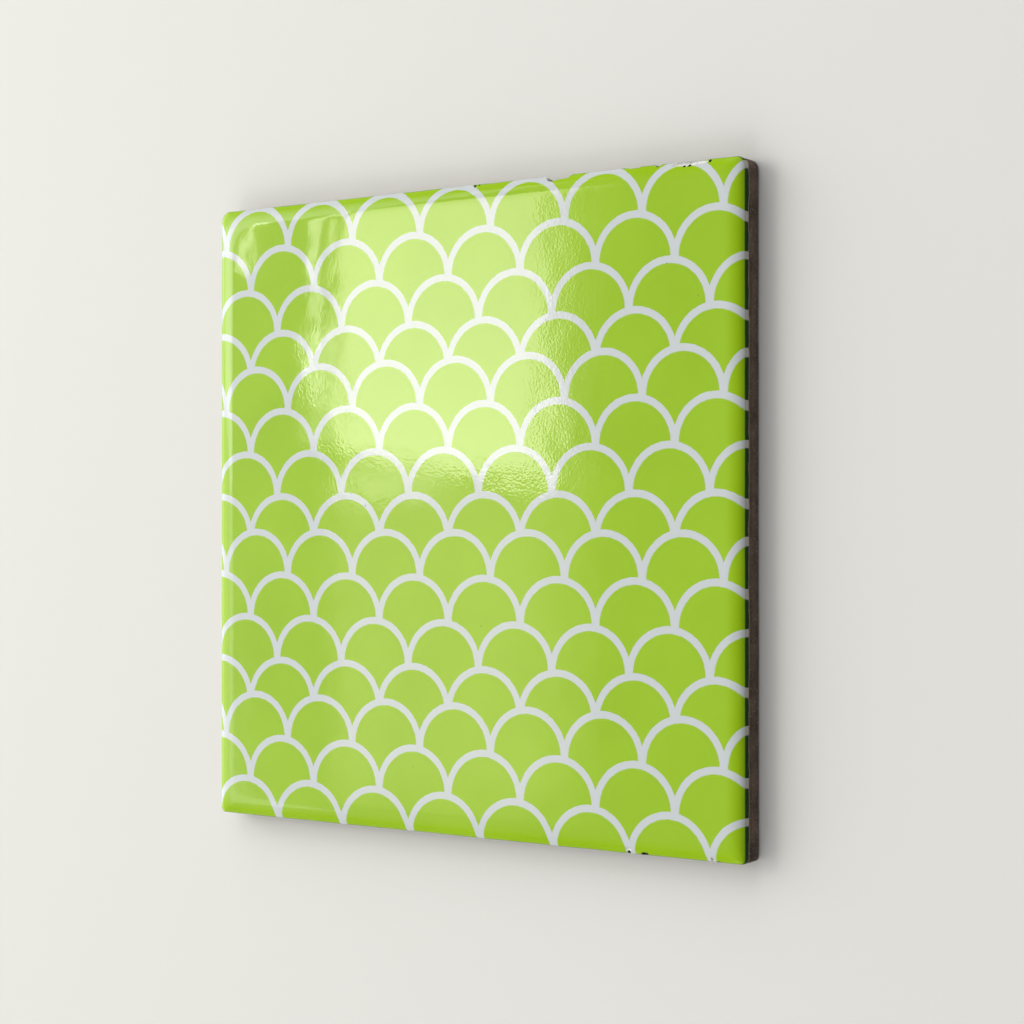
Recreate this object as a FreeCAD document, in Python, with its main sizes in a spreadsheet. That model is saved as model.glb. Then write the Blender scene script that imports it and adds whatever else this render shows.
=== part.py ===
"""Square glazed wall tile with a cushion edge, lying face up on its keyed back.

+Z points out of the glazed face and +Y towards the top of the printed pattern. The origin
is the middle of the back, in the plane of its ribs. Lengths are in millimetres.
"""

import FreeCAD
import Part
import Sketcher

import math
import os

# Driving dimensions: alias, value, meaning
SIZES = [
    ("side_length", 150.0, "side of the square at its widest line"),
    ("thickness", 6.5, "from the plane of the back ribs to the glazed face"),
    ("corner_radius", 1.8, "plan radius of the corners at the widest line"),
    ("cushion_width", 4.8, "band along each edge where the face curves down"),
    ("cushion_drop", 1.35, "fall of the face across that band"),
    ("face_corner_radius", 4.5, "plan radius of the corners of the flat face"),
    ("side_draft", 3.0, "degrees by which the sides lean in towards the back"),
    ("back_chamfer", 0.5, "bevel round the edge of the back"),
    ("cell_count", 7, "recessed cells of the back along each side"),
    ("rib_width", 2.4, "flat top of the ribs between the cells"),
    ("border_width", 6.0, "flat border round the field of cells"),
    ("cell_depth", 0.7, "depth of a cell below the ribs"),
    ("cell_draft", 35.0, "degrees by which the walls of a cell lean"),
    ("cell_corner_radius", 1.5, "plan radius of the corners of a cell"),
]

# Values that follow from the driving dimensions: alias, formula, meaning
DERIVED = [
    ("rim_level", "=thickness - cushion_drop", "height of the widest line"),
    ("draft_inset", "=rim_level * tan(side_draft * 1 deg)", "lean of a side over its height"),
    ("back_side", "=side_length - 2 * (draft_inset + back_chamfer)", "side of the flat back"),
    ("cell_pitch", "=(back_side - 2 * border_width + rib_width) / cell_count", "cell spacing"),
    ("cell_side", "=cell_pitch - rib_width", "side of a cell in the plane of the ribs"),
    ("first_cell", "=-(cell_count - 1) / 2 * cell_pitch", "middle of the corner cell"),
]

# Steps from the widest line to the flat face, along the quarter ellipse of the cushion
CUSHION_STEPS = 12

# Sides of a rounded square in a sketch, anticlockwise: its corners follow in the same order
LOWER, RIGHT, UPPER, LEFT = range(4)
SIDES = (LOWER, RIGHT, UPPER, LEFT)
QUARTER_TURN = 90.0

# How a sketch numbers the ends of an edge, and its own origin
START, END = 1, 2
SKETCH_ORIGIN = (-1, 1)

# A height below this counts as in the plane of the back
BACK_PLANE = 1e-6


def add_sheet(doc):
    """Add the spreadsheet of sizes, one named cell for each."""
    sheet = doc.addObject("Spreadsheet::Sheet", "sizes")
    for row, (alias, value, meaning) in enumerate(SIZES + DERIVED, start=1):
        sheet.set(f"A{row}", alias)
        sheet.set(f"B{row}", str(value))
        sheet.set(f"C{row}", meaning)
        sheet.setAlias(f"B{row}", alias)
    doc.recompute()


def origin_feature(body, role):
    """Find the plane or axis of the body's own origin that has this role."""
    return next(item for item in body.Origin.OriginFeatures if item.Role == role)


def add_rounded_square(body, name, side, radius, level="0", middle="0"):
    """Add a sketch of a square with round corners, parallel to the back.

    side, radius, level and middle are expressions. level is the height of the sketch,
    and middle is the place of its centre along X and along Y.
    """
    sketch = body.newObject("Sketcher::SketchObject", name)
    sketch.AttachmentSupport = [(origin_feature(body, "XY_Plane"), "")]
    sketch.MapMode = "FlatFace"
    sketch.setExpression("AttachmentOffset.Base.x", middle)
    sketch.setExpression("AttachmentOffset.Base.y", middle)
    sketch.setExpression("AttachmentOffset.Base.z", level)

    # Drawn at its size, and held to it by the two named constraints
    half = sketch.evalExpression(side) / 2
    bend = sketch.evalExpression(radius)
    flat = half - bend
    upward = FreeCAD.Vector(0, 0, 1)
    turns = [FreeCAD.Rotation(upward, number * QUARTER_TURN) for number in SIDES]
    for turn in turns:
        start = turn.multVec(FreeCAD.Vector(-flat, -half, 0))
        end = turn.multVec(FreeCAD.Vector(flat, -half, 0))
        sketch.addGeometry(Part.LineSegment(start, end))
    for number, turn in zip(SIDES, turns):
        circle = Part.Circle(turn.multVec(FreeCAD.Vector(flat, -flat, 0)), upward, bend)
        first = math.radians((number - 1) * QUARTER_TURN)
        last = math.radians(number * QUARTER_TURN)
        sketch.addGeometry(Part.ArcOfCircle(circle, first, last))

    corners = [number + len(SIDES) for number in SIDES]
    for number, corner in zip(SIDES, corners):
        following = (number + 1) % len(SIDES)
        sketch.addConstraint(Sketcher.Constraint("Tangent", number, END, corner, START))
        sketch.addConstraint(Sketcher.Constraint("Tangent", corner, END, following, START))
    for corner in corners[1:]:
        sketch.addConstraint(Sketcher.Constraint("Equal", corners[0], corner))
    for number in (LOWER, UPPER):
        sketch.addConstraint(Sketcher.Constraint("Horizontal", number))
    for number in (RIGHT, LEFT):
        sketch.addConstraint(Sketcher.Constraint("Vertical", number))
    sketch.addConstraint(Sketcher.Constraint("Equal", LOWER, RIGHT))
    sketch.addConstraint(Sketcher.Constraint("Symmetric", LOWER, START, UPPER, START, *SKETCH_ORIGIN))
    across = sketch.addConstraint(Sketcher.Constraint("DistanceX", LEFT, START, RIGHT, START, 2 * half))
    sketch.renameConstraint(across, "side")
    sketch.setExpression("Constraints.side", side)
    rounding = sketch.addConstraint(Sketcher.Constraint("Radius", corners[0], bend))
    sketch.renameConstraint(rounding, "corner")
    sketch.setExpression("Constraints.corner", radius)
    return sketch


def add_slab(body, rim):
    """Pad the outline at the widest line down to the back, with the draft of the sides."""
    slab = body.newObject("PartDesign::Pad", "slab")
    slab.Profile = rim
    slab.Reversed = True
    slab.setExpression("Length", "sizes.rim_level")
    slab.setExpression("TaperAngle", "-sizes.side_draft")
    return slab


def add_back_bevel(body, slab):
    """Bevel the edges of the slab that lie in the plane of the back."""
    edges = enumerate(slab.Shape.Edges, start=1)
    names = [f"Edge{number}" for number, edge in edges if edge.BoundBox.ZMax < BACK_PLANE]
    bevel = body.newObject("PartDesign::Chamfer", "back_bevel")
    bevel.Base = (slab, names)
    bevel.setExpression("Size", "sizes.back_chamfer")


def add_cushion(body, rim):
    """Loft the curved band from the widest line up to the flat face."""
    sections = []
    for step in range(1, CUSHION_STEPS + 1):
        angle = f"({step} / {CUSHION_STEPS} * {QUARTER_TURN} deg)"
        inward = f"(1 - cos({angle}))"
        side = f"sizes.side_length - 2 * sizes.cushion_width * {inward}"
        radius = f"sizes.corner_radius + (sizes.face_corner_radius - sizes.corner_radius) * {inward}"
        level = f"sizes.rim_level + sizes.cushion_drop * sin({angle})"
        sections.append(add_rounded_square(body, f"cushion_{step}", side, radius, level))
    cushion = body.newObject("PartDesign::AdditiveLoft", "cushion")
    cushion.Profile = rim
    cushion.Sections = sections


def add_back_cells(body):
    """Sink one tapered cell into a corner of the back, then repeat it both ways."""
    side, radius = "sizes.cell_side", "sizes.cell_corner_radius"
    outline = add_rounded_square(body, "cell_outline", side, radius, middle="sizes.first_cell")
    cell = body.newObject("PartDesign::Pocket", "cell")
    cell.Profile = outline
    cell.Reversed = True
    cell.setExpression("Length", "sizes.cell_depth")
    cell.setExpression("TaperAngle", "-sizes.cell_draft")

    field = body.newObject("PartDesign::MultiTransform", "cell_field")
    directions = []
    for role in ("X_Axis", "Y_Axis"):
        direction = body.newObject("PartDesign::LinearPattern", f"cells_along_{role[0]}")
        direction.Direction = (origin_feature(body, role), [""])
        direction.Mode = "Spacing"
        direction.setExpression("Offset", "sizes.cell_pitch")
        direction.setExpression("Occurrences", "sizes.cell_count")
        directions.append(direction)
    field.Originals = [cell]
    field.Transformations = directions
    body.Tip = field


def check(doc):
    """Stop where an object is in error, or a feature that makes shape has no valid one."""
    for item in doc.Objects:
        if "Invalid" in item.State or "Error" in item.State:
            raise RuntimeError(f"{item.Label} is in error: {item.State}")
        # A direction of the field of cells has no shape of its own
        if item.isDerivedFrom("PartDesign::Feature") and item.TypeId != "PartDesign::LinearPattern":
            if item.Shape.isNull() or not item.Shape.isValid():
                raise RuntimeError(f"{item.Label} has no valid shape")


def main():
    """Build the tile and write its solid."""
    doc = FreeCAD.newDocument("fish_scale_tile")
    add_sheet(doc)
    body = doc.addObject("PartDesign::Body", "tile")
    side, radius = "sizes.side_length", "sizes.corner_radius"
    rim = add_rounded_square(body, "rim_outline", side, radius, level="sizes.rim_level")
    slab = add_slab(body, rim)
    doc.recompute()
    add_back_bevel(body, slab)
    add_cushion(body, rim)
    add_back_cells(body)
    doc.recompute()
    check(doc)
    os.makedirs("parts", exist_ok=True)
    body.Shape.exportStep(f"parts/{body.Label}.step")


main()
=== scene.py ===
"""Looks of a square wall tile with a printed fish-scale pattern under a glossy glaze.

The tile lies face up on its back. +Z points out of the glazed face and +Y towards the tops of
the printed scales. Sizes in the classes are millimetres, and meshes are metres.
"""

import logging
import math
from collections.abc import Mapping
from dataclasses import dataclass, field
from enum import Enum
from typing import Any

import bmesh
import bpy
from mathutils import Matrix, Vector, noise


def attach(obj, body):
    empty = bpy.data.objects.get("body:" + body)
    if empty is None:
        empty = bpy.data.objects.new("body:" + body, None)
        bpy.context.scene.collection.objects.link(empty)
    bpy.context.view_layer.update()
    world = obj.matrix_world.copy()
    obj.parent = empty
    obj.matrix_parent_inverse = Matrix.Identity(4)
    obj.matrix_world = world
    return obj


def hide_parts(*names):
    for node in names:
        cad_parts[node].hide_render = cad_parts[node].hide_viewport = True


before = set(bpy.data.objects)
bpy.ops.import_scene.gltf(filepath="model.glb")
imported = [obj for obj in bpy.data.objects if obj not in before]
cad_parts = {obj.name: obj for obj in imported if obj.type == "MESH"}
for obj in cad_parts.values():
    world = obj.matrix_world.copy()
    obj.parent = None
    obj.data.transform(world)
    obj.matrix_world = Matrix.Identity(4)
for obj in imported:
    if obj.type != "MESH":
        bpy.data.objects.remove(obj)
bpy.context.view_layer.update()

BODY = "root"
NODE = "tile"
MM = 0.001
MATH = "ShaderNodeMath"
VECTOR_MATH = "ShaderNodeVectorMath"
MAP_RANGE = "ShaderNodeMapRange"
MIX = "ShaderNodeMix"
NOISE = "ShaderNodeTexNoise"
LOG = logging.getLogger("fish_scale_tile")

# The sRGB curve: a straight line below the knee and a power above it
SRGB_KNEE = 0.04045
SRGB_SLOPE = 12.92
SRGB_OFFSET = 0.055
SRGB_POWER = 2.4

# Where most values of a noise lie, where nearly all lie, and the middle of its colours
NOISE_MOST = (0.3, 0.7)
NOISE_ALL = (0.25, 0.75)
NOISE_MIDDLE = (0.5, 0.5, 0.5)

# The flat grids that geometry nodes bend run from -1 to 1, and nothing is divided by their middle
GRID_SIDE = 2.0
NEARLY_NOTHING = 1e-6
HALF_CORNER = math.radians(45)
QUARTER_TURN = math.radians(90)

# Watts for each square metre of a lamp that is as bright as a white surface in full light
GLOW_WATTS = 4.0
WHITE = "#FFFFFF"

Color = tuple[float, float, float, float]
Tree = bpy.types.NodeTree
Node = bpy.types.Node


def hex_to_linear(code: str) -> Color:
    """Turn an sRGB hex colour into linear values.

    Args:
        code: Six hex digits after a hash sign.

    Returns:
        Red, green and blue from 0 to 1, and an alpha of 1.
    """
    linear = []
    for place in (1, 3, 5):
        part = int(code[place:place + 2], 16) / 0xFF
        if part <= SRGB_KNEE:
            linear.append(part / SRGB_SLOPE)
        else:
            linear.append(((part + SRGB_OFFSET) / (1 + SRGB_OFFSET)) ** SRGB_POWER)
    return (linear[0], linear[1], linear[2], 1.0)


def add_node(
    tree: Tree,
    kind: str,
    *values: Any,
    into: Mapping[str, Any] | None = None,
    **settings: Any,
) -> Node:
    """Add a node, with its settings, and fill its inputs.

    Args:
        tree: The node tree that gets the node.
        kind: Blender's name for the kind of node.
        values: For the inputs in their order. A node stands for its first output, a socket is
            linked, None leaves the input alone, and anything else is set as it is.
        into: The same for inputs picked by name.
        settings: Properties of the node.

    Returns:
        The new node.
    """
    node = tree.nodes.new(kind)
    for name, value in settings.items():
        setattr(node, name, value)
    live = [socket for socket in node.inputs if socket.enabled]
    pairs = list(zip(live, values))
    for name, value in (into or {}).items():
        pairs.append((next(socket for socket in live if socket.name == name), value))
    for socket, value in pairs:
        if isinstance(value, bpy.types.Node):
            value = next(output for output in value.outputs if output.enabled)
        if isinstance(value, bpy.types.NodeSocket):
            tree.links.new(value, socket)
        elif value is not None:
            socket.default_value = value
    return node


class Finish:
    """What every finish shares: a material with one principled shader, fed in millimetres."""

    name: str

    def start(self) -> tuple[bpy.types.Material, Tree, Node, Node]:
        """Make the empty material.

        Returns:
            The material, its tree, its shader, and the place of a point in millimetres.
        """
        material = bpy.data.materials.new(self.name)
        material.use_nodes = True
        tree = material.node_tree
        tree.nodes.clear()
        shader = add_node(tree, "ShaderNodeBsdfPrincipled")
        add_node(tree, "ShaderNodeOutputMaterial", shader)
        place = add_node(tree, "ShaderNodeTexCoord").outputs["Object"]
        point = add_node(tree, VECTOR_MATH, place, into={"Scale": 1 / MM}, operation="SCALE")
        return material, tree, shader, point


@dataclass(frozen=True)
class ScalePrint:
    """The printed pattern: rows of round-topped scales, each row over the one above it.

    Rows come in fours, and then repeat. A row is given by the middle of one of its circles.
    """

    pitch: float = 20.31
    radius: float = 9.97
    line_width: float = 1.64
    row_middles: tuple[tuple[float, float], ...] = (
        (-1.40, 24.99),
        (6.84, 14.56),
        (-4.82, 4.14),
        (6.84, -6.28),
    )
    rows_repeat: float = 39.94
    edge_blur: float = 0.12
    bleed: float = 0.12
    bleed_size: float = 1.1

    def add_lines(self, tree: Tree, point: Node) -> Node:
        """Add the mask of the outlines.

        Args:
            tree: The material's node tree.
            point: A place on the face, in millimetres.

        Returns:
            A node that gives 1 on a line and 0 inside a scale.
        """
        outer = self.radius + self.line_width / 2
        inner = self.radius - self.line_width / 2
        behind_all = -1000.0
        same_rank = 0.001
        stray = add_node(tree, NOISE, point, into={"Scale": 1 / self.bleed_size}).outputs["Color"]
        stray = add_node(tree, VECTOR_MATH, stray, NOISE_MIDDLE, operation="SUBTRACT")
        spread = (2 * self.bleed, 2 * self.bleed, 0.0)
        part = add_node(tree, VECTOR_MATH, stray, spread, point, operation="MULTIPLY_ADD")
        part = add_node(tree, "ShaderNodeSeparateXYZ", part)
        ranks = []
        rings = []
        for middle_x, middle_y in self.row_middles:
            right = add_node(tree, MATH, part.outputs["X"], middle_x, operation="SUBTRACT")
            right = add_node(tree, MATH, right, self.pitch / 2, -self.pitch / 2, operation="WRAP")
            up = add_node(tree, MATH, part.outputs["Y"], middle_y, operation="SUBTRACT")
            up = add_node(tree, MATH, up, outer, outer - self.rows_repeat, operation="WRAP")
            above = add_node(tree, MATH, up, 0.0, operation="MAXIMUM")
            reach = add_node(tree, "ShaderNodeCombineXYZ", right, above)
            reach = add_node(tree, VECTOR_MATH, reach, operation="LENGTH")
            bare = add_node(tree, MATH, reach, outer, operation="GREATER_THAN")
            ranks.append(add_node(tree, MATH, bare, behind_all, up, operation="MULTIPLY_ADD"))
            ring = add_node(tree, MAP_RANGE, reach, inner - self.edge_blur, inner + self.edge_blur)
            rings.append(ring)
        front = ranks[0]
        for rank in ranks[1:]:
            front = add_node(tree, MATH, front, rank, operation="MAXIMUM")
        shown = []
        for rank, ring in zip(ranks, rings):
            leads = add_node(tree, MATH, rank, front, same_rank, operation="COMPARE")
            shown.append(add_node(tree, MATH, leads, ring, operation="MULTIPLY"))
        lines = shown[0]
        for line in shown[1:]:
            lines = add_node(tree, MATH, lines, line, operation="MAXIMUM")
        return lines


@dataclass(frozen=True)
class FiredClay(Finish):
    """Pressed brown clay, fired and left bare: dull, mottled and sandy to the eye."""

    name: str = "fired_clay"
    # Both tones are the clay's brown made darker, partly as painted shade for the shaded side wall
    dark: str = "#493C32"
    light: str = "#6E5C4E"
    grain: str = "#93867A"
    patch_size: float = 5.0
    grain_size: float = 0.5
    grain_height: float = 0.06
    grain_values: tuple[float, float] = (0.58, 0.72)
    grain_share: float = 0.7
    roughness: float = 0.88

    def add_color(self, tree: Tree, point: Node) -> Node:
        """Add the mottled colour of the clay.

        Args:
            tree: The material's node tree.
            point: A place on the clay, in millimetres.

        Returns:
            A colour node.
        """
        dark, light, grain = (hex_to_linear(code) for code in (self.dark, self.light, self.grain))
        patches = add_node(tree, NOISE, point, into={"Scale": 1 / self.patch_size, "Detail": 4.0})
        patches = add_node(tree, MAP_RANGE, patches, *NOISE_MOST)
        clay = add_node(tree, MIX, patches, dark, light, data_type="RGBA")
        grains = add_node(tree, NOISE, point, into={"Scale": 1 / self.grain_size})
        grains = add_node(tree, MAP_RANGE, grains, *self.grain_values, 0.0, self.grain_share)
        return add_node(tree, MIX, grains, clay, grain, data_type="RGBA")

    def add_height(self, tree: Tree, point: Node) -> Node:
        """Add the height of the sandy grain, in millimetres."""
        grains = add_node(tree, NOISE, point, into={"Scale": 1 / self.grain_size, "Detail": 3.0})
        return add_node(tree, MATH, grains, self.grain_height, operation="MULTIPLY")

    def build(self) -> bpy.types.Material:
        """Make the material of the bare sides, the back or a break.

        Returns:
            The material.
        """
        material, tree, shader, point = self.start()
        height = self.add_height(tree, point)
        bump = add_node(tree, "ShaderNodeBump", into={"Distance": MM, "Height": height})
        tree.links.new(self.add_color(tree, point).outputs["Result"], shader.inputs["Base Color"])
        tree.links.new(bump.outputs["Normal"], shader.inputs["Normal"])
        shader.inputs["Roughness"].default_value = self.roughness
        return material


@dataclass(frozen=True)
class ShadedChipClay(FiredClay):
    """Clay in a deep old chip, painted nearly black as the shade inside it."""

    name: str = "chip_clay_painted_shade"
    # Painted shade: nearly black, for the shade that fills a deep chip
    dark: str = "#17150E"
    light: str = "#2E2A1E"
    grain: str = "#5A5546"
    patch_size: float = 0.8
    grain_size: float = 0.3


@dataclass(frozen=True)
class BrokenGlaze(FiredClay):
    """Glaze that crumbled at the edge: rough white grains."""

    name: str = "broken_glaze"
    dark: str = "#C9C8C2"
    light: str = "#EDEDEA"
    grain: str = "#F8F8F6"
    patch_size: float = 0.8
    grain_size: float = 0.3


@dataclass(frozen=True)
class PrintedGlaze(Finish):
    """Clear glossy glaze over a print: wet to the eye, with soft waves in what it mirrors."""

    name: str = "printed_glaze"
    print: ScalePrint = field(default_factory=ScalePrint)
    clay: FiredClay = field(default_factory=FiredClay)
    green: str = "#97BF10"
    green_thin: str = "#9DC51C"
    white: str = "#CBD0D4"
    # Painted shade on the rim's side wall: the green and the white lines as they look in shade
    shaded_rim_green: str = "#0C3A00"
    shaded_rim_white: str = "#B4B2AC"
    slip: str = "#A79F90"
    pinhole: str = "#4C5A1E"
    tone_size: float = 22.0
    glaze_end: float = 4.0
    ragged: float = 0.7
    ragged_size: float = 3.0
    glaze_edge: float = 0.04
    slip_width: float = 0.3
    slip_share: float = 0.6
    # Heights where the painted shade of the rim starts and where it is full
    rim_shade_top: float = 5.5
    rim_shade_end: float = 5.2
    mirror_levels: tuple[float, float] = (6.1, 6.45)
    mirror_shares: tuple[float, float] = (0.1, 0.5)
    pinhole_spacing: float = 17.0
    pinhole_radii: tuple[float, float] = (0.132, 0.264)
    pinhole_share: float = 0.8
    peel_size: float = 0.52
    peel_direction: tuple[float, float, float] = (0.7, -0.7, 0.0)
    peel_growth: tuple[float, float] = (-75.0, -35.0)
    peel_heights: tuple[float, float] = (0.0014, 0.006)
    ripple_size: float = 5.0
    ripple_height: float = 0.006
    glaze_height: float = 0.12
    roughness: float = 0.035
    ior: float = 1.52

    def add_face_color(self, tree: Tree, point: Node, level: bpy.types.NodeSocket) -> Node:
        """Add the colour of the printed face, with painted shade down the side wall of the rim.

        Args:
            tree: The material's node tree.
            point: A place on the face, in millimetres.
            level: Its height above the back.

        Returns:
            A colour node.
        """
        # Painted shade: the green and the white lines darken down the rim's side wall, where the
        # shade falls
        rim_shade = add_node(tree, MAP_RANGE, level, self.rim_shade_top, self.rim_shade_end)
        tones = add_node(tree, NOISE, point, into={"Scale": 1 / self.tone_size, "Detail": 3.0})
        tones = add_node(tree, MAP_RANGE, tones, *NOISE_MOST)
        greens = (self.green, self.green_thin, self.shaded_rim_green)
        green, thin, shaded_green = (hex_to_linear(code) for code in greens)
        others = (self.white, self.shaded_rim_white, self.pinhole)
        white, shaded_white, pinhole = (hex_to_linear(code) for code in others)
        scales = add_node(tree, MIX, tones, green, thin, data_type="RGBA")
        scales = add_node(tree, MIX, rim_shade, scales, shaded_green, data_type="RGBA")
        whites = add_node(tree, MIX, rim_shade, white, shaded_white, data_type="RGBA")
        lines = self.print.add_lines(tree, point)
        color = add_node(tree, MIX, lines, scales, whites, data_type="RGBA")
        scale = 1 / self.pinhole_spacing
        holes = add_node(tree, "ShaderNodeTexVoronoi", point, into={"Scale": scale})
        edge = [radius * scale for radius in self.pinhole_radii]
        holes = add_node(tree, MAP_RANGE, holes, *edge, self.pinhole_share, 0.0)
        return add_node(tree, MIX, holes, color, pinhole, data_type="RGBA")

    def build(self) -> bpy.types.Material:
        """Make the material of the face, its cushion edge and the ragged end of the glaze.

        Returns:
            The material.
        """
        material, tree, shader, point = self.start()
        level = add_node(tree, "ShaderNodeSeparateXYZ", point).outputs["Z"]
        rags = add_node(tree, NOISE, point, into={"Scale": 1 / self.ragged_size, "Detail": 3.0})
        lowest = self.glaze_end - self.ragged / 2
        end = add_node(tree, MATH, rags, self.ragged, lowest, operation="MULTIPLY_ADD")
        above = add_node(tree, MATH, level, end, operation="SUBTRACT")
        glazed = add_node(tree, MAP_RANGE, above, -self.glaze_edge, self.glaze_edge)
        slip_edge = (-self.slip_width, -self.slip_width / 2)
        slipped = add_node(tree, MAP_RANGE, above, *slip_edge, 0.0, self.slip_share)

        face = self.add_face_color(tree, point, level)
        clay = self.clay.add_color(tree, point)
        color = add_node(tree, MIX, slipped, clay, hex_to_linear(self.slip), data_type="RGBA")
        color = add_node(tree, MIX, glazed, color, face, data_type="RGBA")
        tree.links.new(color.outputs["Result"], shader.inputs["Base Color"])

        dull = add_node(tree, MAP_RANGE, glazed, 0.0, 1.0, self.clay.roughness, self.roughness)
        tree.links.new(dull.outputs["Result"], shader.inputs["Roughness"])
        shader.inputs["IOR"].default_value = self.ior
        # The thin glaze over the rim mirrors less than the face
        mirror = add_node(tree, MAP_RANGE, level, *self.mirror_levels, *self.mirror_shares)
        tree.links.new(mirror.outputs["Result"], shader.inputs["Specular IOR Level"])

        peel = add_node(tree, NOISE, point, into={"Scale": 1 / self.peel_size, "Detail": 0.0})
        ripple = add_node(tree, NOISE, point, into={"Scale": 1 / self.ripple_size, "Detail": 0.0})
        heights = (self.ripple_height, self.glaze_height)
        ripple = add_node(tree, MATH, ripple, *heights, operation="MULTIPLY_ADD")
        # The peel is calm at the upper left and grows towards the lower right
        strength = add_node(tree, VECTOR_MATH, point, self.peel_direction, operation="DOT_PRODUCT")
        strength = add_node(tree, MAP_RANGE, strength, *self.peel_growth, *self.peel_heights)
        glaze = add_node(tree, MATH, peel, strength, ripple, operation="MULTIPLY_ADD")
        height = add_node(tree, MIX, glazed, self.clay.add_height(tree, point), glaze)
        bump = add_node(tree, "ShaderNodeBump", into={"Distance": MM, "Height": height})
        tree.links.new(bump.outputs["Normal"], shader.inputs["Normal"])
        return material


@dataclass(frozen=True)
class RunGlaze(PrintedGlaze):
    """The same glaze where it ran further down, over a dent in the edge."""

    name: str = "run_glaze"
    glaze_end: float = 3.6
    # The painted shade down the dent's wall starts lower here
    rim_shade_top: float = 4.8
    rim_shade_end: float = 4.3


@dataclass(frozen=True)
class FloorPaint(Finish):
    """Matt pale paint: an even floor that only takes the shadow."""

    name: str = "floor_paint"
    color: str = "#E4E3E0"
    roughness: float = 0.9
    mirror: float = 0.1

    def build(self) -> bpy.types.Material:
        """Make the material of the floor.

        Returns:
            The material.
        """
        material, _tree, shader, _point = self.start()
        shader.inputs["Base Color"].default_value = hex_to_linear(self.color)
        shader.inputs["Roughness"].default_value = self.roughness
        shader.inputs["Specular IOR Level"].default_value = self.mirror
        return material


@dataclass
class RingShape:
    """A shape made from a flat grid whose square rings become rounded squares at set heights."""

    corner_steps: int = 10

    def grow(
        self,
        name: str,
        sizes: Mapping[str, float],
        materials: Mapping[str, bpy.types.Material],
    ) -> bpy.types.Mesh:
        """Run the shape's geometry nodes once and keep the result as a plain mesh.

        Args:
            name: Name of the mesh.
            sizes: Named lengths of the tree, in metres, and its seed.
            materials: Named materials of the tree.

        Returns:
            The mesh.
        """
        tree = bpy.data.node_groups.new(name, "GeometryNodeTree")
        tree.interface.new_socket("Geometry", in_out="OUTPUT", socket_type="NodeSocketGeometry")
        values = {}
        for label, value in {**sizes, **materials}.items():
            kind = "NodeSocketMaterial" if label in materials else "NodeSocketFloat"
            socket = tree.interface.new_socket(label, in_out="INPUT", socket_type=kind)
            values[socket.identifier] = value
        self.draw(tree, add_node(tree, "NodeGroupInput").outputs)
        carrier = bpy.data.objects.new(name, bpy.data.meshes.new(f"{name}_carrier"))
        bpy.context.scene.collection.objects.link(carrier)
        modifier = carrier.modifiers.new(name, "NODES")
        modifier.node_group = tree
        for identifier, value in values.items():
            modifier[identifier] = value
        graph = bpy.context.evaluated_depsgraph_get()
        mesh = bpy.data.meshes.new_from_object(carrier.evaluated_get(graph))
        mesh.name = name
        bpy.data.objects.remove(carrier)
        chosen = [mesh.materials[polygon.material_index] for polygon in mesh.polygons]
        mesh.materials.clear()
        for material in materials.values():
            mesh.materials.append(material)
        for polygon, material in zip(mesh.polygons, chosen):
            polygon.material_index = mesh.materials.find(material.name)
        return mesh

    def draw(self, tree: Tree, size: bpy.types.NodeOutputs) -> None:
        """Add the shape's own nodes; each shape says how."""
        raise NotImplementedError

    def add_ring(self, tree: Tree, rings: int) -> Node:
        """Add the number of the ring that a point of the grid lies on.

        Args:
            tree: The geometry tree.
            rings: Rings of the grid.

        Returns:
            A node that gives 0 in the middle and the number of rings at the border.
        """
        place = add_node(tree, "GeometryNodeInputPosition")
        away = add_node(tree, VECTOR_MATH, place, operation="ABSOLUTE")
        part = add_node(tree, "ShaderNodeSeparateXYZ", away)
        widest = add_node(tree, MATH, part.outputs["X"], part.outputs["Y"], operation="MAXIMUM")
        return add_node(tree, MATH, widest, float(rings), operation="MULTIPLY")

    def add_place(self, tree: Tree, rings: int, half: Node, corner: Node, level: Node) -> Node:
        """Add the rule that lays a point of the grid on its rounded square.

        Args:
            tree: The geometry tree.
            rings: Rings of the grid.
            half: Half the side of the point's rounded square.
            corner: Radius of that square's corners.
            level: Its height.

        Returns:
            A node with the point's new place.
        """
        place = add_node(tree, "ShaderNodeSeparateXYZ", add_node(tree, "GeometryNodeInputPosition"))
        away = [add_node(tree, MATH, place.outputs[axis], operation="ABSOLUTE") for axis in "XY"]
        sign = [add_node(tree, MATH, place.outputs[axis], operation="SIGN") for axis in "XY"]
        least = add_node(tree, MATH, *away, operation="MINIMUM")
        most = add_node(tree, MATH, *away, operation="MAXIMUM")
        most = add_node(tree, MATH, most, NEARLY_NOTHING, operation="MAXIMUM")
        share = add_node(tree, MATH, least, most, operation="DIVIDE")
        straight = 1 - self.corner_steps / rings
        run = add_node(tree, MAP_RANGE, share, 0.0, straight)
        bend = add_node(tree, MAP_RANGE, share, straight, 1.0, 0.0, HALF_CORNER)
        flat = add_node(tree, MATH, half, corner, operation="SUBTRACT")
        rise = add_node(tree, MATH, bend, operation="SINE")
        reach = add_node(tree, MATH, bend, operation="COSINE")
        along = add_node(tree, MATH, flat, run, operation="MULTIPLY")
        along = add_node(tree, MATH, corner, rise, along, operation="MULTIPLY_ADD")
        across = add_node(tree, MATH, corner, reach, flat, operation="MULTIPLY_ADD")
        sideways = add_node(tree, MATH, away[1], away[0], operation="GREATER_THAN")
        x = add_node(tree, MIX, sideways, across, along)
        y = add_node(tree, MIX, sideways, along, across)
        x = add_node(tree, MATH, x, sign[0], operation="MULTIPLY")
        y = add_node(tree, MATH, y, sign[1], operation="MULTIPLY")
        return add_node(tree, "ShaderNodeCombineXYZ", x, y, level)


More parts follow.
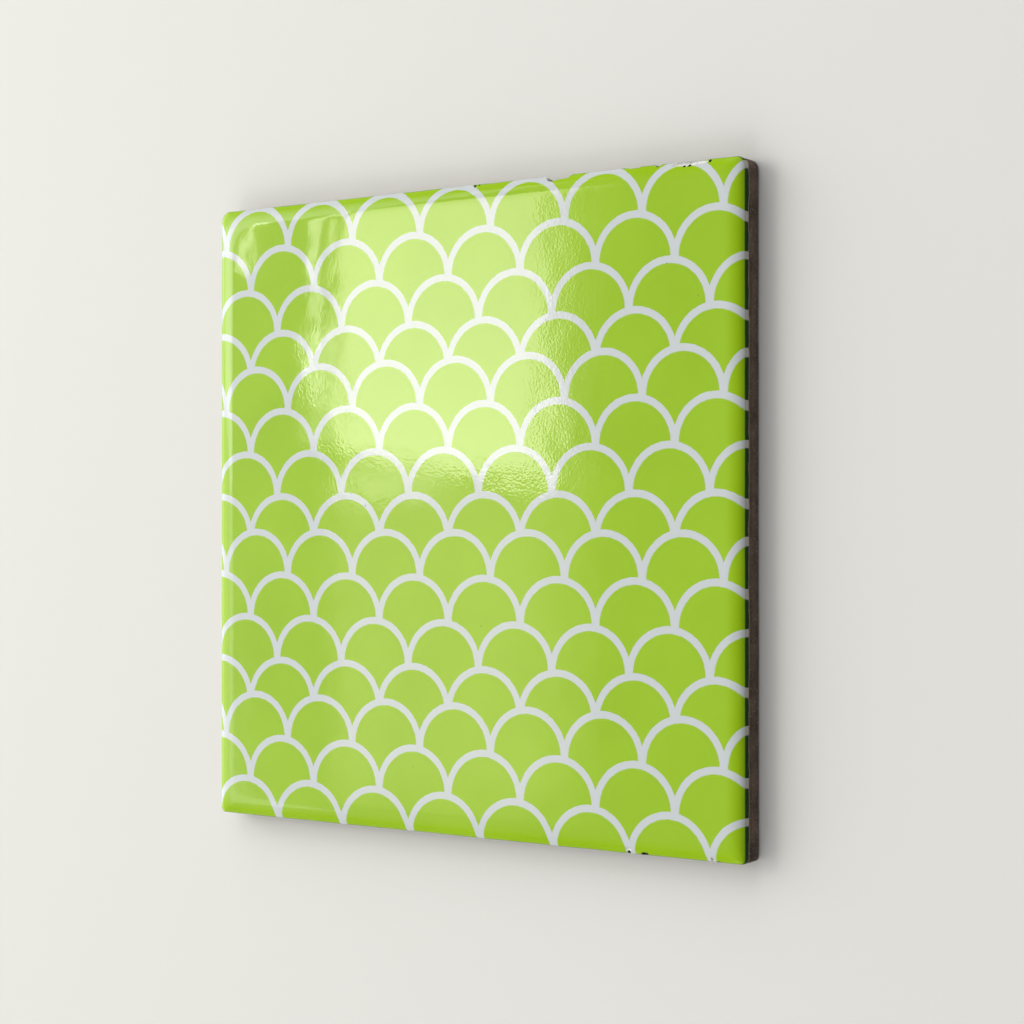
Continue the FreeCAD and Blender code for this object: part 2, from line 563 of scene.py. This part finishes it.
@dataclass
class PressedBody(RingShape):
    """The body from the middle of the face, over the cushion edge, to the border of the back."""

    half_side: float = 75.0
    thickness: float = 6.5
    upper_corner: float = 2.5
    lower_corner: float = 1.2
    cushion_width: float = 4.8
    cushion_drop: float = 1.35
    corner_growth: float = 2.4
    side_draft: float = 3.0
    right_inset: float = 0.75
    right_power: float = 2.0
    back_bevel: float = 0.5
    back_margin: float = 3.6
    bare_below: float = 3.1
    wave_length: float = 20.0
    wave_height: float = 0.05
    wander_length: float = 7.0
    wander: float = 0.12
    seed: float = 4.0
    face_rings: int = 108
    cushion_rings: int = 14
    side_rings: int = 8
    bevel_rings: int = 2
    border_rings: int = 2

    @property
    def rim_level(self) -> float:
        """Height of the widest line."""
        return self.thickness - self.cushion_drop

    def build(self, glaze: bpy.types.Material, clay: bpy.types.Material) -> bpy.types.Mesh:
        """Grow the body.

        Args:
            glaze: Material of the face and the rim.
            clay: Material of the bare side and back.

        Returns:
            A mesh that is open in the middle of its back.
        """
        lengths = {
            "Half Side": self.half_side,
            "Rim Level": self.rim_level,
            "Upper Corner": self.upper_corner,
            "Lower Corner": self.lower_corner,
            "Cushion Width": self.cushion_width,
            "Cushion Drop": self.cushion_drop,
            "Corner Growth": self.corner_growth,
            "Right Inset": self.right_inset,
            "Back Bevel": self.back_bevel,
            "Back Margin": self.back_margin,
            "Bare Below": self.bare_below,
            "Wave Length": self.wave_length,
            "Wave Height": self.wave_height,
            "Wander Length": self.wander_length,
            "Wander": self.wander,
        }
        sizes = {name: length * MM for name, length in lengths.items()}
        sizes["Side Lean"] = math.tan(math.radians(self.side_draft))
        sizes["Seed"] = self.seed
        return self.grow("pressed_body", sizes, {"Glaze": glaze, "Clay": clay})

    def draw(self, tree: Tree, size: bpy.types.NodeOutputs) -> None:
        """Add the nodes of the body.

        Args:
            tree: The geometry tree.
            size: Its named inputs.
        """
        counts = (
            self.face_rings,
            self.cushion_rings,
            self.side_rings,
            self.bevel_rings,
            self.border_rings,
        )
        ends = [sum(counts[:place + 1]) for place in range(len(counts))]
        rings = ends[-1]
        ring = self.add_ring(tree, rings)
        face = add_node(tree, MAP_RANGE, ring, 0.0, float(ends[0]))
        turn = add_node(tree, MAP_RANGE, ring, float(ends[0]), float(ends[1]), QUARTER_TURN, 0.0)
        fall = add_node(tree, MAP_RANGE, ring, float(ends[1]), float(ends[2]))
        bevel = add_node(tree, MAP_RANGE, ring, float(ends[2]), float(ends[3]))
        border = add_node(tree, MAP_RANGE, ring, float(ends[3]), float(ends[4]))
        outward = add_node(tree, MATH, turn, operation="COSINE")
        upward = add_node(tree, MATH, turn, operation="SINE")

        cut = add_node(tree, MATH, size["Back Bevel"], bevel, operation="MULTIPLY")
        side = add_node(tree, MATH, size["Rim Level"], size["Back Bevel"], operation="SUBTRACT")
        sunk = add_node(tree, MATH, side, fall, cut, operation="MULTIPLY_ADD")
        inset = add_node(tree, MATH, sunk, size["Side Lean"], cut, operation="MULTIPLY_ADD")

        flat = add_node(tree, MATH, size["Half Side"], size["Cushion Width"], operation="SUBTRACT")
        half = add_node(tree, MATH, flat, face, operation="MULTIPLY")
        half = add_node(tree, MATH, size["Cushion Width"], outward, half, operation="MULTIPLY_ADD")
        half = add_node(tree, MATH, half, inset, operation="SUBTRACT")
        margin = add_node(tree, MATH, size["Back Margin"], border, operation="MULTIPLY")
        half = add_node(tree, MATH, half, margin, operation="SUBTRACT")

        # The flat face has rounder corners than the widest line, and the lower corners are sharper
        start = add_node(tree, "GeometryNodeInputPosition")
        along = add_node(tree, "ShaderNodeSeparateXYZ", start).outputs["Y"]
        upper = add_node(tree, MATH, along, 0.0, operation="GREATER_THAN")
        corner = add_node(tree, MIX, upper, size["Lower Corner"], size["Upper Corner"])
        corner = add_node(tree, MATH, corner, size["Corner Growth"], operation="ADD")
        corner = add_node(tree, MATH, corner, face, operation="MULTIPLY")
        growth = add_node(tree, MATH, size["Corner Growth"], outward, inset, operation="MULTIPLY_ADD")
        corner = add_node(tree, MATH, corner, growth, operation="SUBTRACT")

        drop, rim = size["Cushion Drop"], size["Rim Level"]
        level = add_node(tree, MATH, drop, upward, rim, operation="MULTIPLY_ADD")
        level = add_node(tree, MATH, level, sunk, operation="SUBTRACT")
        place = self.add_place(tree, rings, half, corner, level)

        # The right side leans in towards the rim
        glazed = add_node(tree, MATH, 1.0, fall, operation="SUBTRACT")
        right = add_node(tree, "ShaderNodeSeparateXYZ", place).outputs["X"]
        right = add_node(tree, MAP_RANGE, right, flat, size["Half Side"])
        right = add_node(tree, MATH, right, self.right_power, operation="POWER")
        right = add_node(tree, MATH, right, glazed, operation="MULTIPLY")
        lean = add_node(tree, MATH, size["Right Inset"], -1.0, operation="MULTIPLY")
        lean = add_node(tree, MATH, lean, right, operation="MULTIPLY")

        # The glaze set in slow waves, and its edge isn't quite straight: both only take away
        wave_scale = add_node(tree, MATH, 1.0, size["Wave Length"], operation="DIVIDE")
        seeded = {"W": size["Seed"], "Scale": wave_scale}
        waves = add_node(tree, NOISE, place, into=seeded, noise_dimensions="4D")
        waves = add_node(tree, MAP_RANGE, waves, *NOISE_ALL, -1.0, 0.0)
        waves = add_node(tree, MATH, waves, size["Wave Height"], operation="MULTIPLY")
        waves = add_node(tree, MATH, waves, glazed, operation="MULTIPLY")
        wander_scale = add_node(tree, MATH, 1.0, size["Wander Length"], operation="DIVIDE")
        seeded = {"W": size["Seed"], "Scale": wander_scale}
        wander = add_node(tree, NOISE, place, into=seeded, noise_dimensions="4D")
        wander = add_node(tree, MAP_RANGE, wander, *NOISE_ALL)
        wander = add_node(tree, MATH, wander, outward, operation="MULTIPLY")
        pull = add_node(tree, MATH, size["Wander"], size["Half Side"], operation="DIVIDE")
        pull = add_node(tree, MATH, pull, wander, operation="MULTIPLY")
        kept = add_node(tree, MATH, 1.0, pull, operation="SUBTRACT")
        kept = add_node(tree, "ShaderNodeCombineXYZ", kept, kept, 1.0)
        shift = add_node(tree, "ShaderNodeCombineXYZ", lean, 0.0, waves)
        place = add_node(tree, VECTOR_MATH, place, kept, shift, operation="MULTIPLY_ADD")

        points = 2 * rings + 1
        grid = add_node(tree, "GeometryNodeMeshGrid", GRID_SIDE, GRID_SIDE, points, points)
        shape = add_node(tree, "GeometryNodeSetPosition", grid, into={"Position": place})
        shape = add_node(tree, "GeometryNodeRealizeInstances", shape)
        shape = add_node(tree, "GeometryNodeSetMaterial", shape, into={"Material": size["Glaze"]})
        final = add_node(tree, "GeometryNodeInputPosition")
        height = add_node(tree, "ShaderNodeSeparateXYZ", final).outputs["Z"]
        limit = size["Bare Below"]
        bare = add_node(tree, "FunctionNodeCompare", height, limit, operation="LESS_THAN")
        shape = add_node(tree, "GeometryNodeSetMaterial", shape, bare, size["Clay"])
        add_node(tree, "NodeGroupOutput", shape)


@dataclass
class KeyCells(RingShape):
    """The field of shallow square cells in the back, which grip the mortar."""

    corner_steps: int = 2
    count: int = 7
    field_half: float = 69.43
    rib_width: float = 2.4
    depth: float = 0.7
    draft: float = 35.0
    corner_radius: float = 1.5
    merge_distance: float = 0.01
    floor_rings: int = 4
    wall_rings: int = 1
    rib_rings: int = 1

    def build(self, clay: bpy.types.Material) -> bpy.types.Mesh:
        """Grow the field of cells, facing down.

        Args:
            clay: Material of the cells.

        Returns:
            A mesh that is open along its border.
        """
        pitch = 2 * self.field_half / self.count
        lengths = {
            "Pitch": pitch,
            "Cell Half": (pitch - self.rib_width) / 2,
            "Wall Run": self.depth * math.tan(math.radians(self.draft)),
            "Depth": self.depth,
            "Corner Radius": self.corner_radius,
            "Merge": self.merge_distance,
        }
        sizes = {name: length * MM for name, length in lengths.items()}
        return self.grow("key_cells", sizes, {"Clay": clay})

    def draw(self, tree: Tree, size: bpy.types.NodeOutputs) -> None:
        """Add the nodes of one cell and of its copies.

        Args:
            tree: The geometry tree.
            size: Its named inputs.
        """
        counts = (self.floor_rings, self.wall_rings, self.rib_rings)
        ends = [sum(counts[:place + 1]) for place in range(len(counts))]
        rings = ends[-1]
        ring = self.add_ring(tree, rings)
        floor = add_node(tree, MAP_RANGE, ring, 0.0, float(ends[0]))
        wall = add_node(tree, MAP_RANGE, ring, float(ends[0]), float(ends[1]))
        rib = add_node(tree, MAP_RANGE, ring, float(ends[1]), float(ends[2]))

        half = add_node(tree, MATH, size["Cell Half"], size["Wall Run"], operation="SUBTRACT")
        half = add_node(tree, MATH, half, floor, operation="MULTIPLY")
        half = add_node(tree, MATH, size["Wall Run"], wall, half, operation="MULTIPLY_ADD")
        rib_half = add_node(tree, MATH, size["Pitch"], 0.5, operation="MULTIPLY")
        rib_half = add_node(tree, MATH, rib_half, size["Cell Half"], operation="SUBTRACT")
        half = add_node(tree, MATH, rib_half, rib, half, operation="MULTIPLY_ADD")

        corner = add_node(tree, MATH, size["Corner Radius"], size["Wall Run"], operation="SUBTRACT")
        corner = add_node(tree, MATH, corner, floor, operation="MULTIPLY")
        corner = add_node(tree, MATH, size["Wall Run"], wall, corner, operation="MULTIPLY_ADD")
        inner = add_node(tree, MATH, 1.0, rib, operation="SUBTRACT")
        corner = add_node(tree, MATH, corner, inner, operation="MULTIPLY")

        sunk = add_node(tree, MATH, 1.0, wall, operation="SUBTRACT")
        level = add_node(tree, MATH, size["Depth"], sunk, operation="MULTIPLY")
        place = self.add_place(tree, rings, half, corner, level)
        points = 2 * rings + 1
        grid = add_node(tree, "GeometryNodeMeshGrid", GRID_SIDE, GRID_SIDE, points, points)
        cell = add_node(tree, "GeometryNodeSetPosition", grid, into={"Position": place})

        spread = add_node(tree, MATH, size["Pitch"], float(self.count - 1), operation="MULTIPLY")
        middles = add_node(tree, "GeometryNodeMeshGrid", spread, spread, self.count, self.count)
        cells = add_node(tree, "GeometryNodeInstanceOnPoints", middles, into={"Instance": cell})
        cells = add_node(tree, "GeometryNodeRealizeInstances", cells)
        cells = add_node(tree, "GeometryNodeMergeByDistance", cells, into={"Distance": size["Merge"]})
        cells = add_node(tree, "GeometryNodeFlipFaces", cells)
        cells = add_node(tree, "GeometryNodeSetMaterial", cells, into={"Material": size["Clay"]})
        add_node(tree, "NodeGroupOutput", cells)


class Edge(Enum):
    """An edge of the face as it is seen from above, by its direction out of the tile."""

    TOP = (0, 1)
    BOTTOM = (0, -1)
    RIGHT = (1, 0)


class Break(Enum):
    """What shows where the edge is damaged."""

    GLAZED = "glaze that ran over a dent"
    FRESH = "white grains of broken glaze"
    # The dark of a deep chip is painted shade
    DEEP = "dark broken clay"


@dataclass(frozen=True)
class Chip:
    """One place where the edge is dented or has flaked off.

    Attributes:
        edge: The edge that it is on.
        along: Its middle along that edge, towards +X or +Y.
        length: How far it runs along the edge.
        bite: How far it reaches in from its middle.
        inward: How far its middle lies inside the widest line.
        level: Height of its middle.
        tall: Its extent in height.
        shows: What the damage shows.
    """

    edge: Edge
    along: float
    length: float
    bite: float
    inward: float = 0.0
    level: float = 5.6
    tall: float = 2.4
    shows: Break = Break.DEEP


@dataclass
class GlazedTile:
    """The whole tile as one piece: the pressed body, its keyed back and the damage to its edges."""

    name: str = "glazed_tile"
    body: PressedBody = field(default_factory=PressedBody)
    cells: KeyCells = field(default_factory=KeyCells)
    chips: tuple[Chip, ...] = (
        Chip(Edge.TOP, 3.9, 1.0, 0.5, inward=0.3, level=5.9, tall=1.0),
        Chip(Edge.TOP, 5.0, 0.7, 0.4, inward=0.1, level=5.8, tall=1.0),
        Chip(Edge.TOP, 6.7, 0.6, 0.3, level=5.7, tall=1.0),
        Chip(Edge.TOP, 26.4, 8.8, 1.7, level=2.0, tall=12.0, shows=Break.GLAZED),
        Chip(Edge.TOP, 30.2, 1.8, 0.4, level=5.6, tall=1.4),
        Chip(Edge.TOP, 46.5, 5.0, 0.5, level=2.0, tall=12.0, shows=Break.GLAZED),
        Chip(Edge.TOP, 52.9, 2.4, 0.8, level=2.0, tall=12.0, shows=Break.GLAZED),
        Chip(Edge.TOP, 53.0, 0.9, 0.5, inward=0.3, level=5.7, tall=1.0),
        Chip(Edge.TOP, 60.8, 10.6, 0.85, inward=0.3, level=6.0, tall=1.3, shows=Break.FRESH),
        Chip(Edge.TOP, 59.7, 0.7, 0.3, inward=1.15, level=6.0, tall=1.2),
        Chip(Edge.TOP, 61.0, 1.0, 0.3, inward=1.1, level=6.0, tall=1.2),
        Chip(Edge.TOP, 66.0, 0.8, 0.4, inward=0.5, level=5.9, tall=1.2),
        Chip(Edge.BOTTOM, 45.4, 2.0, 1.0, inward=0.6, level=6.1, tall=0.9, shows=Break.FRESH),
        Chip(Edge.BOTTOM, 45.5, 0.9, 0.5, inward=0.3, level=5.8, tall=1.0),
        Chip(Edge.BOTTOM, 47.4, 1.2, 0.3, inward=0.3, level=5.9, tall=0.6, shows=Break.FRESH),
        Chip(Edge.BOTTOM, 49.6, 2.2, 0.6, inward=0.1, level=5.7, tall=1.6),
        Chip(Edge.BOTTOM, 66.5, 1.0, 0.6, inward=0.5, level=5.9, tall=1.2, shows=Break.FRESH),
        Chip(Edge.BOTTOM, 68.0, 1.8, 0.3, level=5.6, tall=1.4),
        Chip(Edge.RIGHT, 8.0, 7.0, 0.2, level=5.4, tall=0.7, shows=Break.FRESH),
        Chip(Edge.RIGHT, 15.0, 1.1, 0.5, level=5.6, tall=1.2),
        Chip(Edge.RIGHT, -40.0, 1.5, 0.3, level=5.4, tall=0.9, shows=Break.FRESH),
        Chip(Edge.RIGHT, -46.0, 2.2, 0.35, level=5.5, tall=1.0),
        Chip(Edge.RIGHT, -51.5, 1.7, 0.35, level=5.4, tall=1.0),
    )
    rough_stretch: tuple[float, float] = (56.2, 65.8)
    tooth: float = 0.6
    tooth_share: float = 0.8
    tooth_bite: float = 0.42
    tooth_change: float = 0.25
    tooth_step: float = 1.7
    lump_detail: int = 3
    lump_depth: float = 0.35
    lump_scale: float = 2.3
    lump_step: float = 7.1
    sharp_angle: float = 32.0

    def build(self) -> bpy.types.Object:
        """Build the tile and say which part of the frame it stands for.

        Returns:
            The finished piece.
        """
        glaze = PrintedGlaze().build()
        clay = FiredClay().build()
        materials = [glaze, clay]
        shell = bmesh.new()
        shell.from_mesh(self.body.build(*materials))
        body_faces = len(shell.faces)
        shell.from_mesh(self.cells.build(clay))
        rims = [edge for edge in shell.edges if edge.is_boundary]
        downward = (0.0, 0.0, -1.0)
        bmesh.ops.triangle_fill(shell, edges=rims, use_beauty=True, normal=downward)
        for face in list(shell.faces)[body_faces:]:
            face.material_index = materials.index(clay)
        bmesh.ops.recalc_face_normals(shell, faces=shell.faces)
        mesh = bpy.data.meshes.new(self.name)
        shell.to_mesh(mesh)
        shell.free()
        for material in materials:
            mesh.materials.append(material)

        piece = bpy.data.objects.new(self.name, mesh)
        bpy.context.scene.collection.objects.link(piece)
        broken = {
            Break.GLAZED: RunGlaze().build(),
            Break.FRESH: BrokenGlaze().build(),
            Break.DEEP: ShadedChipClay().build(),
        }
        for shows, material in broken.items():
            self.break_edges(piece, shows, material)
        for polygon in piece.data.polygons:
            polygon.use_smooth = True
        piece.data.set_sharp_from_angle(angle=math.radians(self.sharp_angle))
        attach(piece, BODY)
        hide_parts(NODE)
        LOG.info("%s: %d faces", piece.name, len(piece.data.polygons))
        return piece

    def all_chips(self) -> list[Chip]:
        """List the single chips, and the row of small teeth along the rough stretch.

        Returns:
            The chips, in the order that chooses the shape of each.
        """
        first, last = self.rough_stretch
        count = round((last - first) / self.tooth)
        teeth = []
        for step in range(count):
            change = noise.noise(Vector((step * self.tooth_step, 0.0, 0.0)))
            bite = self.tooth_bite + self.tooth_change * change
            along = first + (step + 0.5) * self.tooth
            length = self.tooth_share * self.tooth
            teeth.append(Chip(Edge.TOP, along, length, bite, shows=Break.FRESH))
        return [*self.chips, *teeth]

    def break_edges(
        self,
        piece: bpy.types.Object,
        shows: Break,
        material: bpy.types.Material,
    ) -> None:
        """Cut the chips of one kind out of the tile.

        Args:
            piece: The tile, which gets the cut mesh.
            shows: The kind of damage.
            material: What its cut faces are made of.
        """
        flakes = bmesh.new()
        for number, chip in enumerate(self.all_chips()):
            if chip.shows is shows:
                self.add_flake(flakes, chip, number)
        mesh = bpy.data.meshes.new("flakes")
        flakes.to_mesh(mesh)
        flakes.free()
        mesh.materials.append(material)
        cutter = bpy.data.objects.new("flakes", mesh)
        bpy.context.scene.collection.objects.link(cutter)
        cut = piece.modifiers.new("chips", "BOOLEAN")
        cut.operation = "DIFFERENCE"
        cut.solver = "MANIFOLD"
        cut.material_mode = "TRANSFER"
        cut.object = cutter
        graph = bpy.context.evaluated_depsgraph_get()
        broken = bpy.data.meshes.new_from_object(piece.evaluated_get(graph))
        piece.modifiers.clear()
        piece.data = broken
        broken.name = self.name
        bpy.data.objects.remove(cutter)

    def add_flake(self, flakes: bmesh.types.BMesh, chip: Chip, seed: int) -> None:
        """Add the rough lump that a chip takes away.

        Args:
            flakes: Mesh of all lumps.
            chip: The chip.
            seed: Chooses the lump's shape.
        """
        out = Vector((*chip.edge.value, 0.0))
        along = Vector((abs(out.y), abs(out.x), 0.0))
        middle = out * (self.body.half_side - chip.inward) + along * chip.along
        middle.z = chip.level
        half = along * (chip.length / 2) + Vector((abs(out.x), abs(out.y), 0.0)) * chip.bite
        half.z = chip.tall / 2
        shift = Vector((seed * self.lump_step, 0.0, 0.0))
        lump = bmesh.ops.create_icosphere(flakes, subdivisions=self.lump_detail, radius=1.0)
        for vert in lump["verts"]:
            rough = 1 + self.lump_depth * noise.noise(vert.co * self.lump_scale + shift)
            away = Vector(part * size for part, size in zip(vert.co * rough, half))
            vert.co = (middle + away) * MM


class Aim(Enum):
    """Which way a lamp faces."""

    DOWN = "straight down"
    TILE = "towards the tile"


@dataclass(frozen=True)
class SoftBox:
    """One soft lamp: a glowing rectangle.

    Attributes:
        name: What it is.
        place: Its middle.
        size: Its two sides. For a lamp that faces down, they run along X and along Y. For one that
            faces the tile, the first is level.
        glow: Its brightness, where 1 is a white surface in full light.
        color: Its colour.
        aim: Which way it faces.
    """

    name: str
    place: tuple[float, float, float]
    size: tuple[float, float]
    glow: float
    color: str = "#FFFFE6"
    aim: Aim = Aim.TILE

    def build(self) -> bpy.types.Light:
        """Hang the lamp.

        Returns:
            Its light.
        """
        light = bpy.data.lights.new(self.name, "AREA")
        light.shape = "RECTANGLE"
        light.size = self.size[0] * MM
        light.size_y = self.size[1] * MM
        light.energy = GLOW_WATTS * light.size * light.size_y * self.glow
        light.color = hex_to_linear(self.color)[:3]
        lamp = bpy.data.objects.new(self.name, light)
        lamp.matrix_world = Matrix.Translation(Vector(self.place) * MM)
        if self.aim is Aim.TILE:
            back = Vector(self.place).normalized()
            level = Vector((0.0, 0.0, 1.0)).cross(back).normalized()
            lamp.matrix_world @= Matrix((level, back.cross(level), back)).transposed().to_4x4()
        bpy.context.scene.collection.objects.link(lamp)
        return light


@dataclass(frozen=True)
class FadedBox(SoftBox):
    """A lamp that faces down and fades towards its right and its lower side.

    Attributes:
        right_blur: How far from its right side it starts to fade.
        low_blur: How far above its lower side it is at full glow.
        slant: How much the lower side rises towards the left, for its length.
        top_share: Share of the glow that is left at its upper side.
    """

    aim: Aim = Aim.DOWN
    right_blur: float = 1.0
    low_blur: float = 1.0
    slant: float = 0.0
    top_share: float = 1.0

    def build(self) -> bpy.types.Light:
        """Hang the lamp and fade its sides.

        Returns:
            Its light.
        """
        light = super().build()
        light.use_nodes = True
        tree = light.node_tree
        tree.nodes.clear()
        right = self.place[0] + self.size[0] / 2
        low = self.place[1] - self.size[1] / 2
        place = add_node(tree, "ShaderNodeNewGeometry").outputs["Position"]
        point = add_node(tree, VECTOR_MATH, place, into={"Scale": 1 / MM}, operation="SCALE")
        part = add_node(tree, "ShaderNodeSeparateXYZ", point)
        inside = add_node(tree, MATH, right, part.outputs["X"], operation="SUBTRACT")
        above = add_node(tree, MATH, part.outputs["Y"], low, operation="SUBTRACT")
        above = add_node(tree, MATH, inside, -self.slant, above, operation="MULTIPLY_ADD")
        shine = add_node(tree, MAP_RANGE, inside, 0.0, self.right_blur)
        rise = add_node(tree, MAP_RANGE, above, 0.0, self.low_blur)
        shine = add_node(tree, MATH, shine, rise, operation="MULTIPLY")
        fade = add_node(tree, MAP_RANGE, above, 0.0, self.size[1], 1.0, self.top_share)
        shine = add_node(tree, MATH, shine, fade, operation="MULTIPLY")
        shine = add_node(tree, "ShaderNodeEmission", into={"Strength": shine})
        add_node(tree, "ShaderNodeOutputLight", shine)
        return light


@dataclass
class Studio:
    """The plain surroundings: a pale floor, soft light from the left, and the camera."""

    floor_half: float = 4000.0
    boxes: tuple[SoftBox, ...] = (
        FadedBox(
            "key",
            (-458.5, 158.0, 606.5),
            (157.0, 285.0),
            4.8,
            "#FFFFE4",
            right_blur=8.0,
            low_blur=6.0,
            slant=0.13,
            top_share=0.28,
        ),
        FadedBox(
            "key_veil",
            (-446.0, 57.0, 609.0),
            (192.0, 486.0),
            1.2,
            "#FFFFC4",
            right_blur=50.0,
            low_blur=40.0,
        ),
        FadedBox("right_strip", (-374.5, 160.0, 607.0), (17.0, 280.0), 0.8, right_blur=9.0),
        FadedBox(
            "low_strip",
            (-487.5, 19.0, 607.5),
            (95.0, 20.0),
            2.0,
            right_blur=50.0,
            low_blur=4.0,
        ),
        SoftBox("left_strip", (-553.0, 186.0, 606.0), (8.0, 228.0), 5.0, aim=Aim.DOWN),
        SoftBox("left_fill", (-549.0, 78.0, 605.5), (24.0, 70.0), 1.8, aim=Aim.DOWN),
        SoftBox("far_strip", (-609.0, 205.0, 606.0), (8.0, 110.0), 5.0, aim=Aim.DOWN),
        SoftBox("upper_panel", (-723.0, 150.0, 488.0), (170.0, 230.0), 1.0),
        SoftBox("left_panel", (-2042.0, 855.0, 1071.0), (1472.0, 1796.0), 1.65, WHITE),
        SoftBox("left_slit", (-2173.0, -422.0, 2029.0), (1186.0, 370.0), 1.0, WHITE),
        SoftBox("front_panel", (-250.0, -2125.0, 1250.0), (1900.0, 1900.0), 1.4, WHITE),
        SoftBox("back_panel", (-250.0, 2125.0, 1250.0), (1900.0, 1900.0), 1.4, WHITE),
    )
    shade: float = 0.2
    left_rise: float = 3.5
    left_power: float = 3.0
    camera_place: tuple[float, float, float] = (300.55, -2.93, 411.0)
    camera_target: tuple[float, float, float] = (14.8, -0.3, 6.5)
    lens: float = 76.96
    sensor: float = 36.0

    def build(self) -> None:
        """Set up the floor, the light and the camera."""
        self.lay_floor()
        for box in self.boxes:
            box.build()
        self.light_world()
        self.place_camera()
        bpy.context.scene.view_settings.view_transform = "Standard"

    def lay_floor(self) -> None:
        """Lay the floor under the tile."""
        flat = bmesh.new()
        bmesh.ops.create_grid(flat, x_segments=1, y_segments=1, size=self.floor_half * MM)
        mesh = bpy.data.meshes.new("floor")
        flat.to_mesh(mesh)
        flat.free()
        mesh.materials.append(FloorPaint().build())
        floor = bpy.data.objects.new("floor", mesh)
        bpy.context.scene.collection.objects.link(floor)

    def light_world(self) -> None:
        """Fill the surroundings with soft light that grows towards the left."""
        world = bpy.data.worlds.new("studio")
        bpy.context.scene.world = world
        world.use_nodes = True
        tree = world.node_tree
        tree.nodes.clear()
        direction = add_node(tree, "ShaderNodeTexCoord").outputs["Generated"]
        sideways = add_node(tree, "ShaderNodeSeparateXYZ", direction).outputs["X"]
        left = add_node(tree, MAP_RANGE, sideways, 0.0, -1.0)
        left = add_node(tree, MATH, left, self.left_power, operation="POWER")
        glow = add_node(tree, MATH, left, self.left_rise, self.shade, operation="MULTIPLY_ADD")
        light = add_node(tree, "ShaderNodeBackground", hex_to_linear(WHITE), glow)
        add_node(tree, "ShaderNodeOutputWorld", light)

    def place_camera(self) -> None:
        """Set the camera where the tile is seen as in the photograph."""
        lens = bpy.data.cameras.new("camera")
        lens.lens = self.lens
        lens.sensor_width = self.sensor
        lens.sensor_fit = "HORIZONTAL"
        camera = bpy.data.objects.new("camera", lens)
        place = Vector(self.camera_place) * MM
        back = (place - Vector(self.camera_target) * MM).normalized()
        right = Vector((0.0, 1.0, 0.0)).cross(back).normalized()
        up = back.cross(right)
        turn = Matrix((right, up, back)).transposed().to_4x4()
        camera.matrix_world = Matrix.Translation(place) @ turn
        bpy.context.scene.collection.objects.link(camera)
        bpy.context.scene.camera = camera


def main() -> None:
    """Build the tile and its surroundings in order."""
    logging.basicConfig(level=logging.INFO)
    GlazedTile().build()
    Studio().build()


if __name__ == "__main__":
    main()
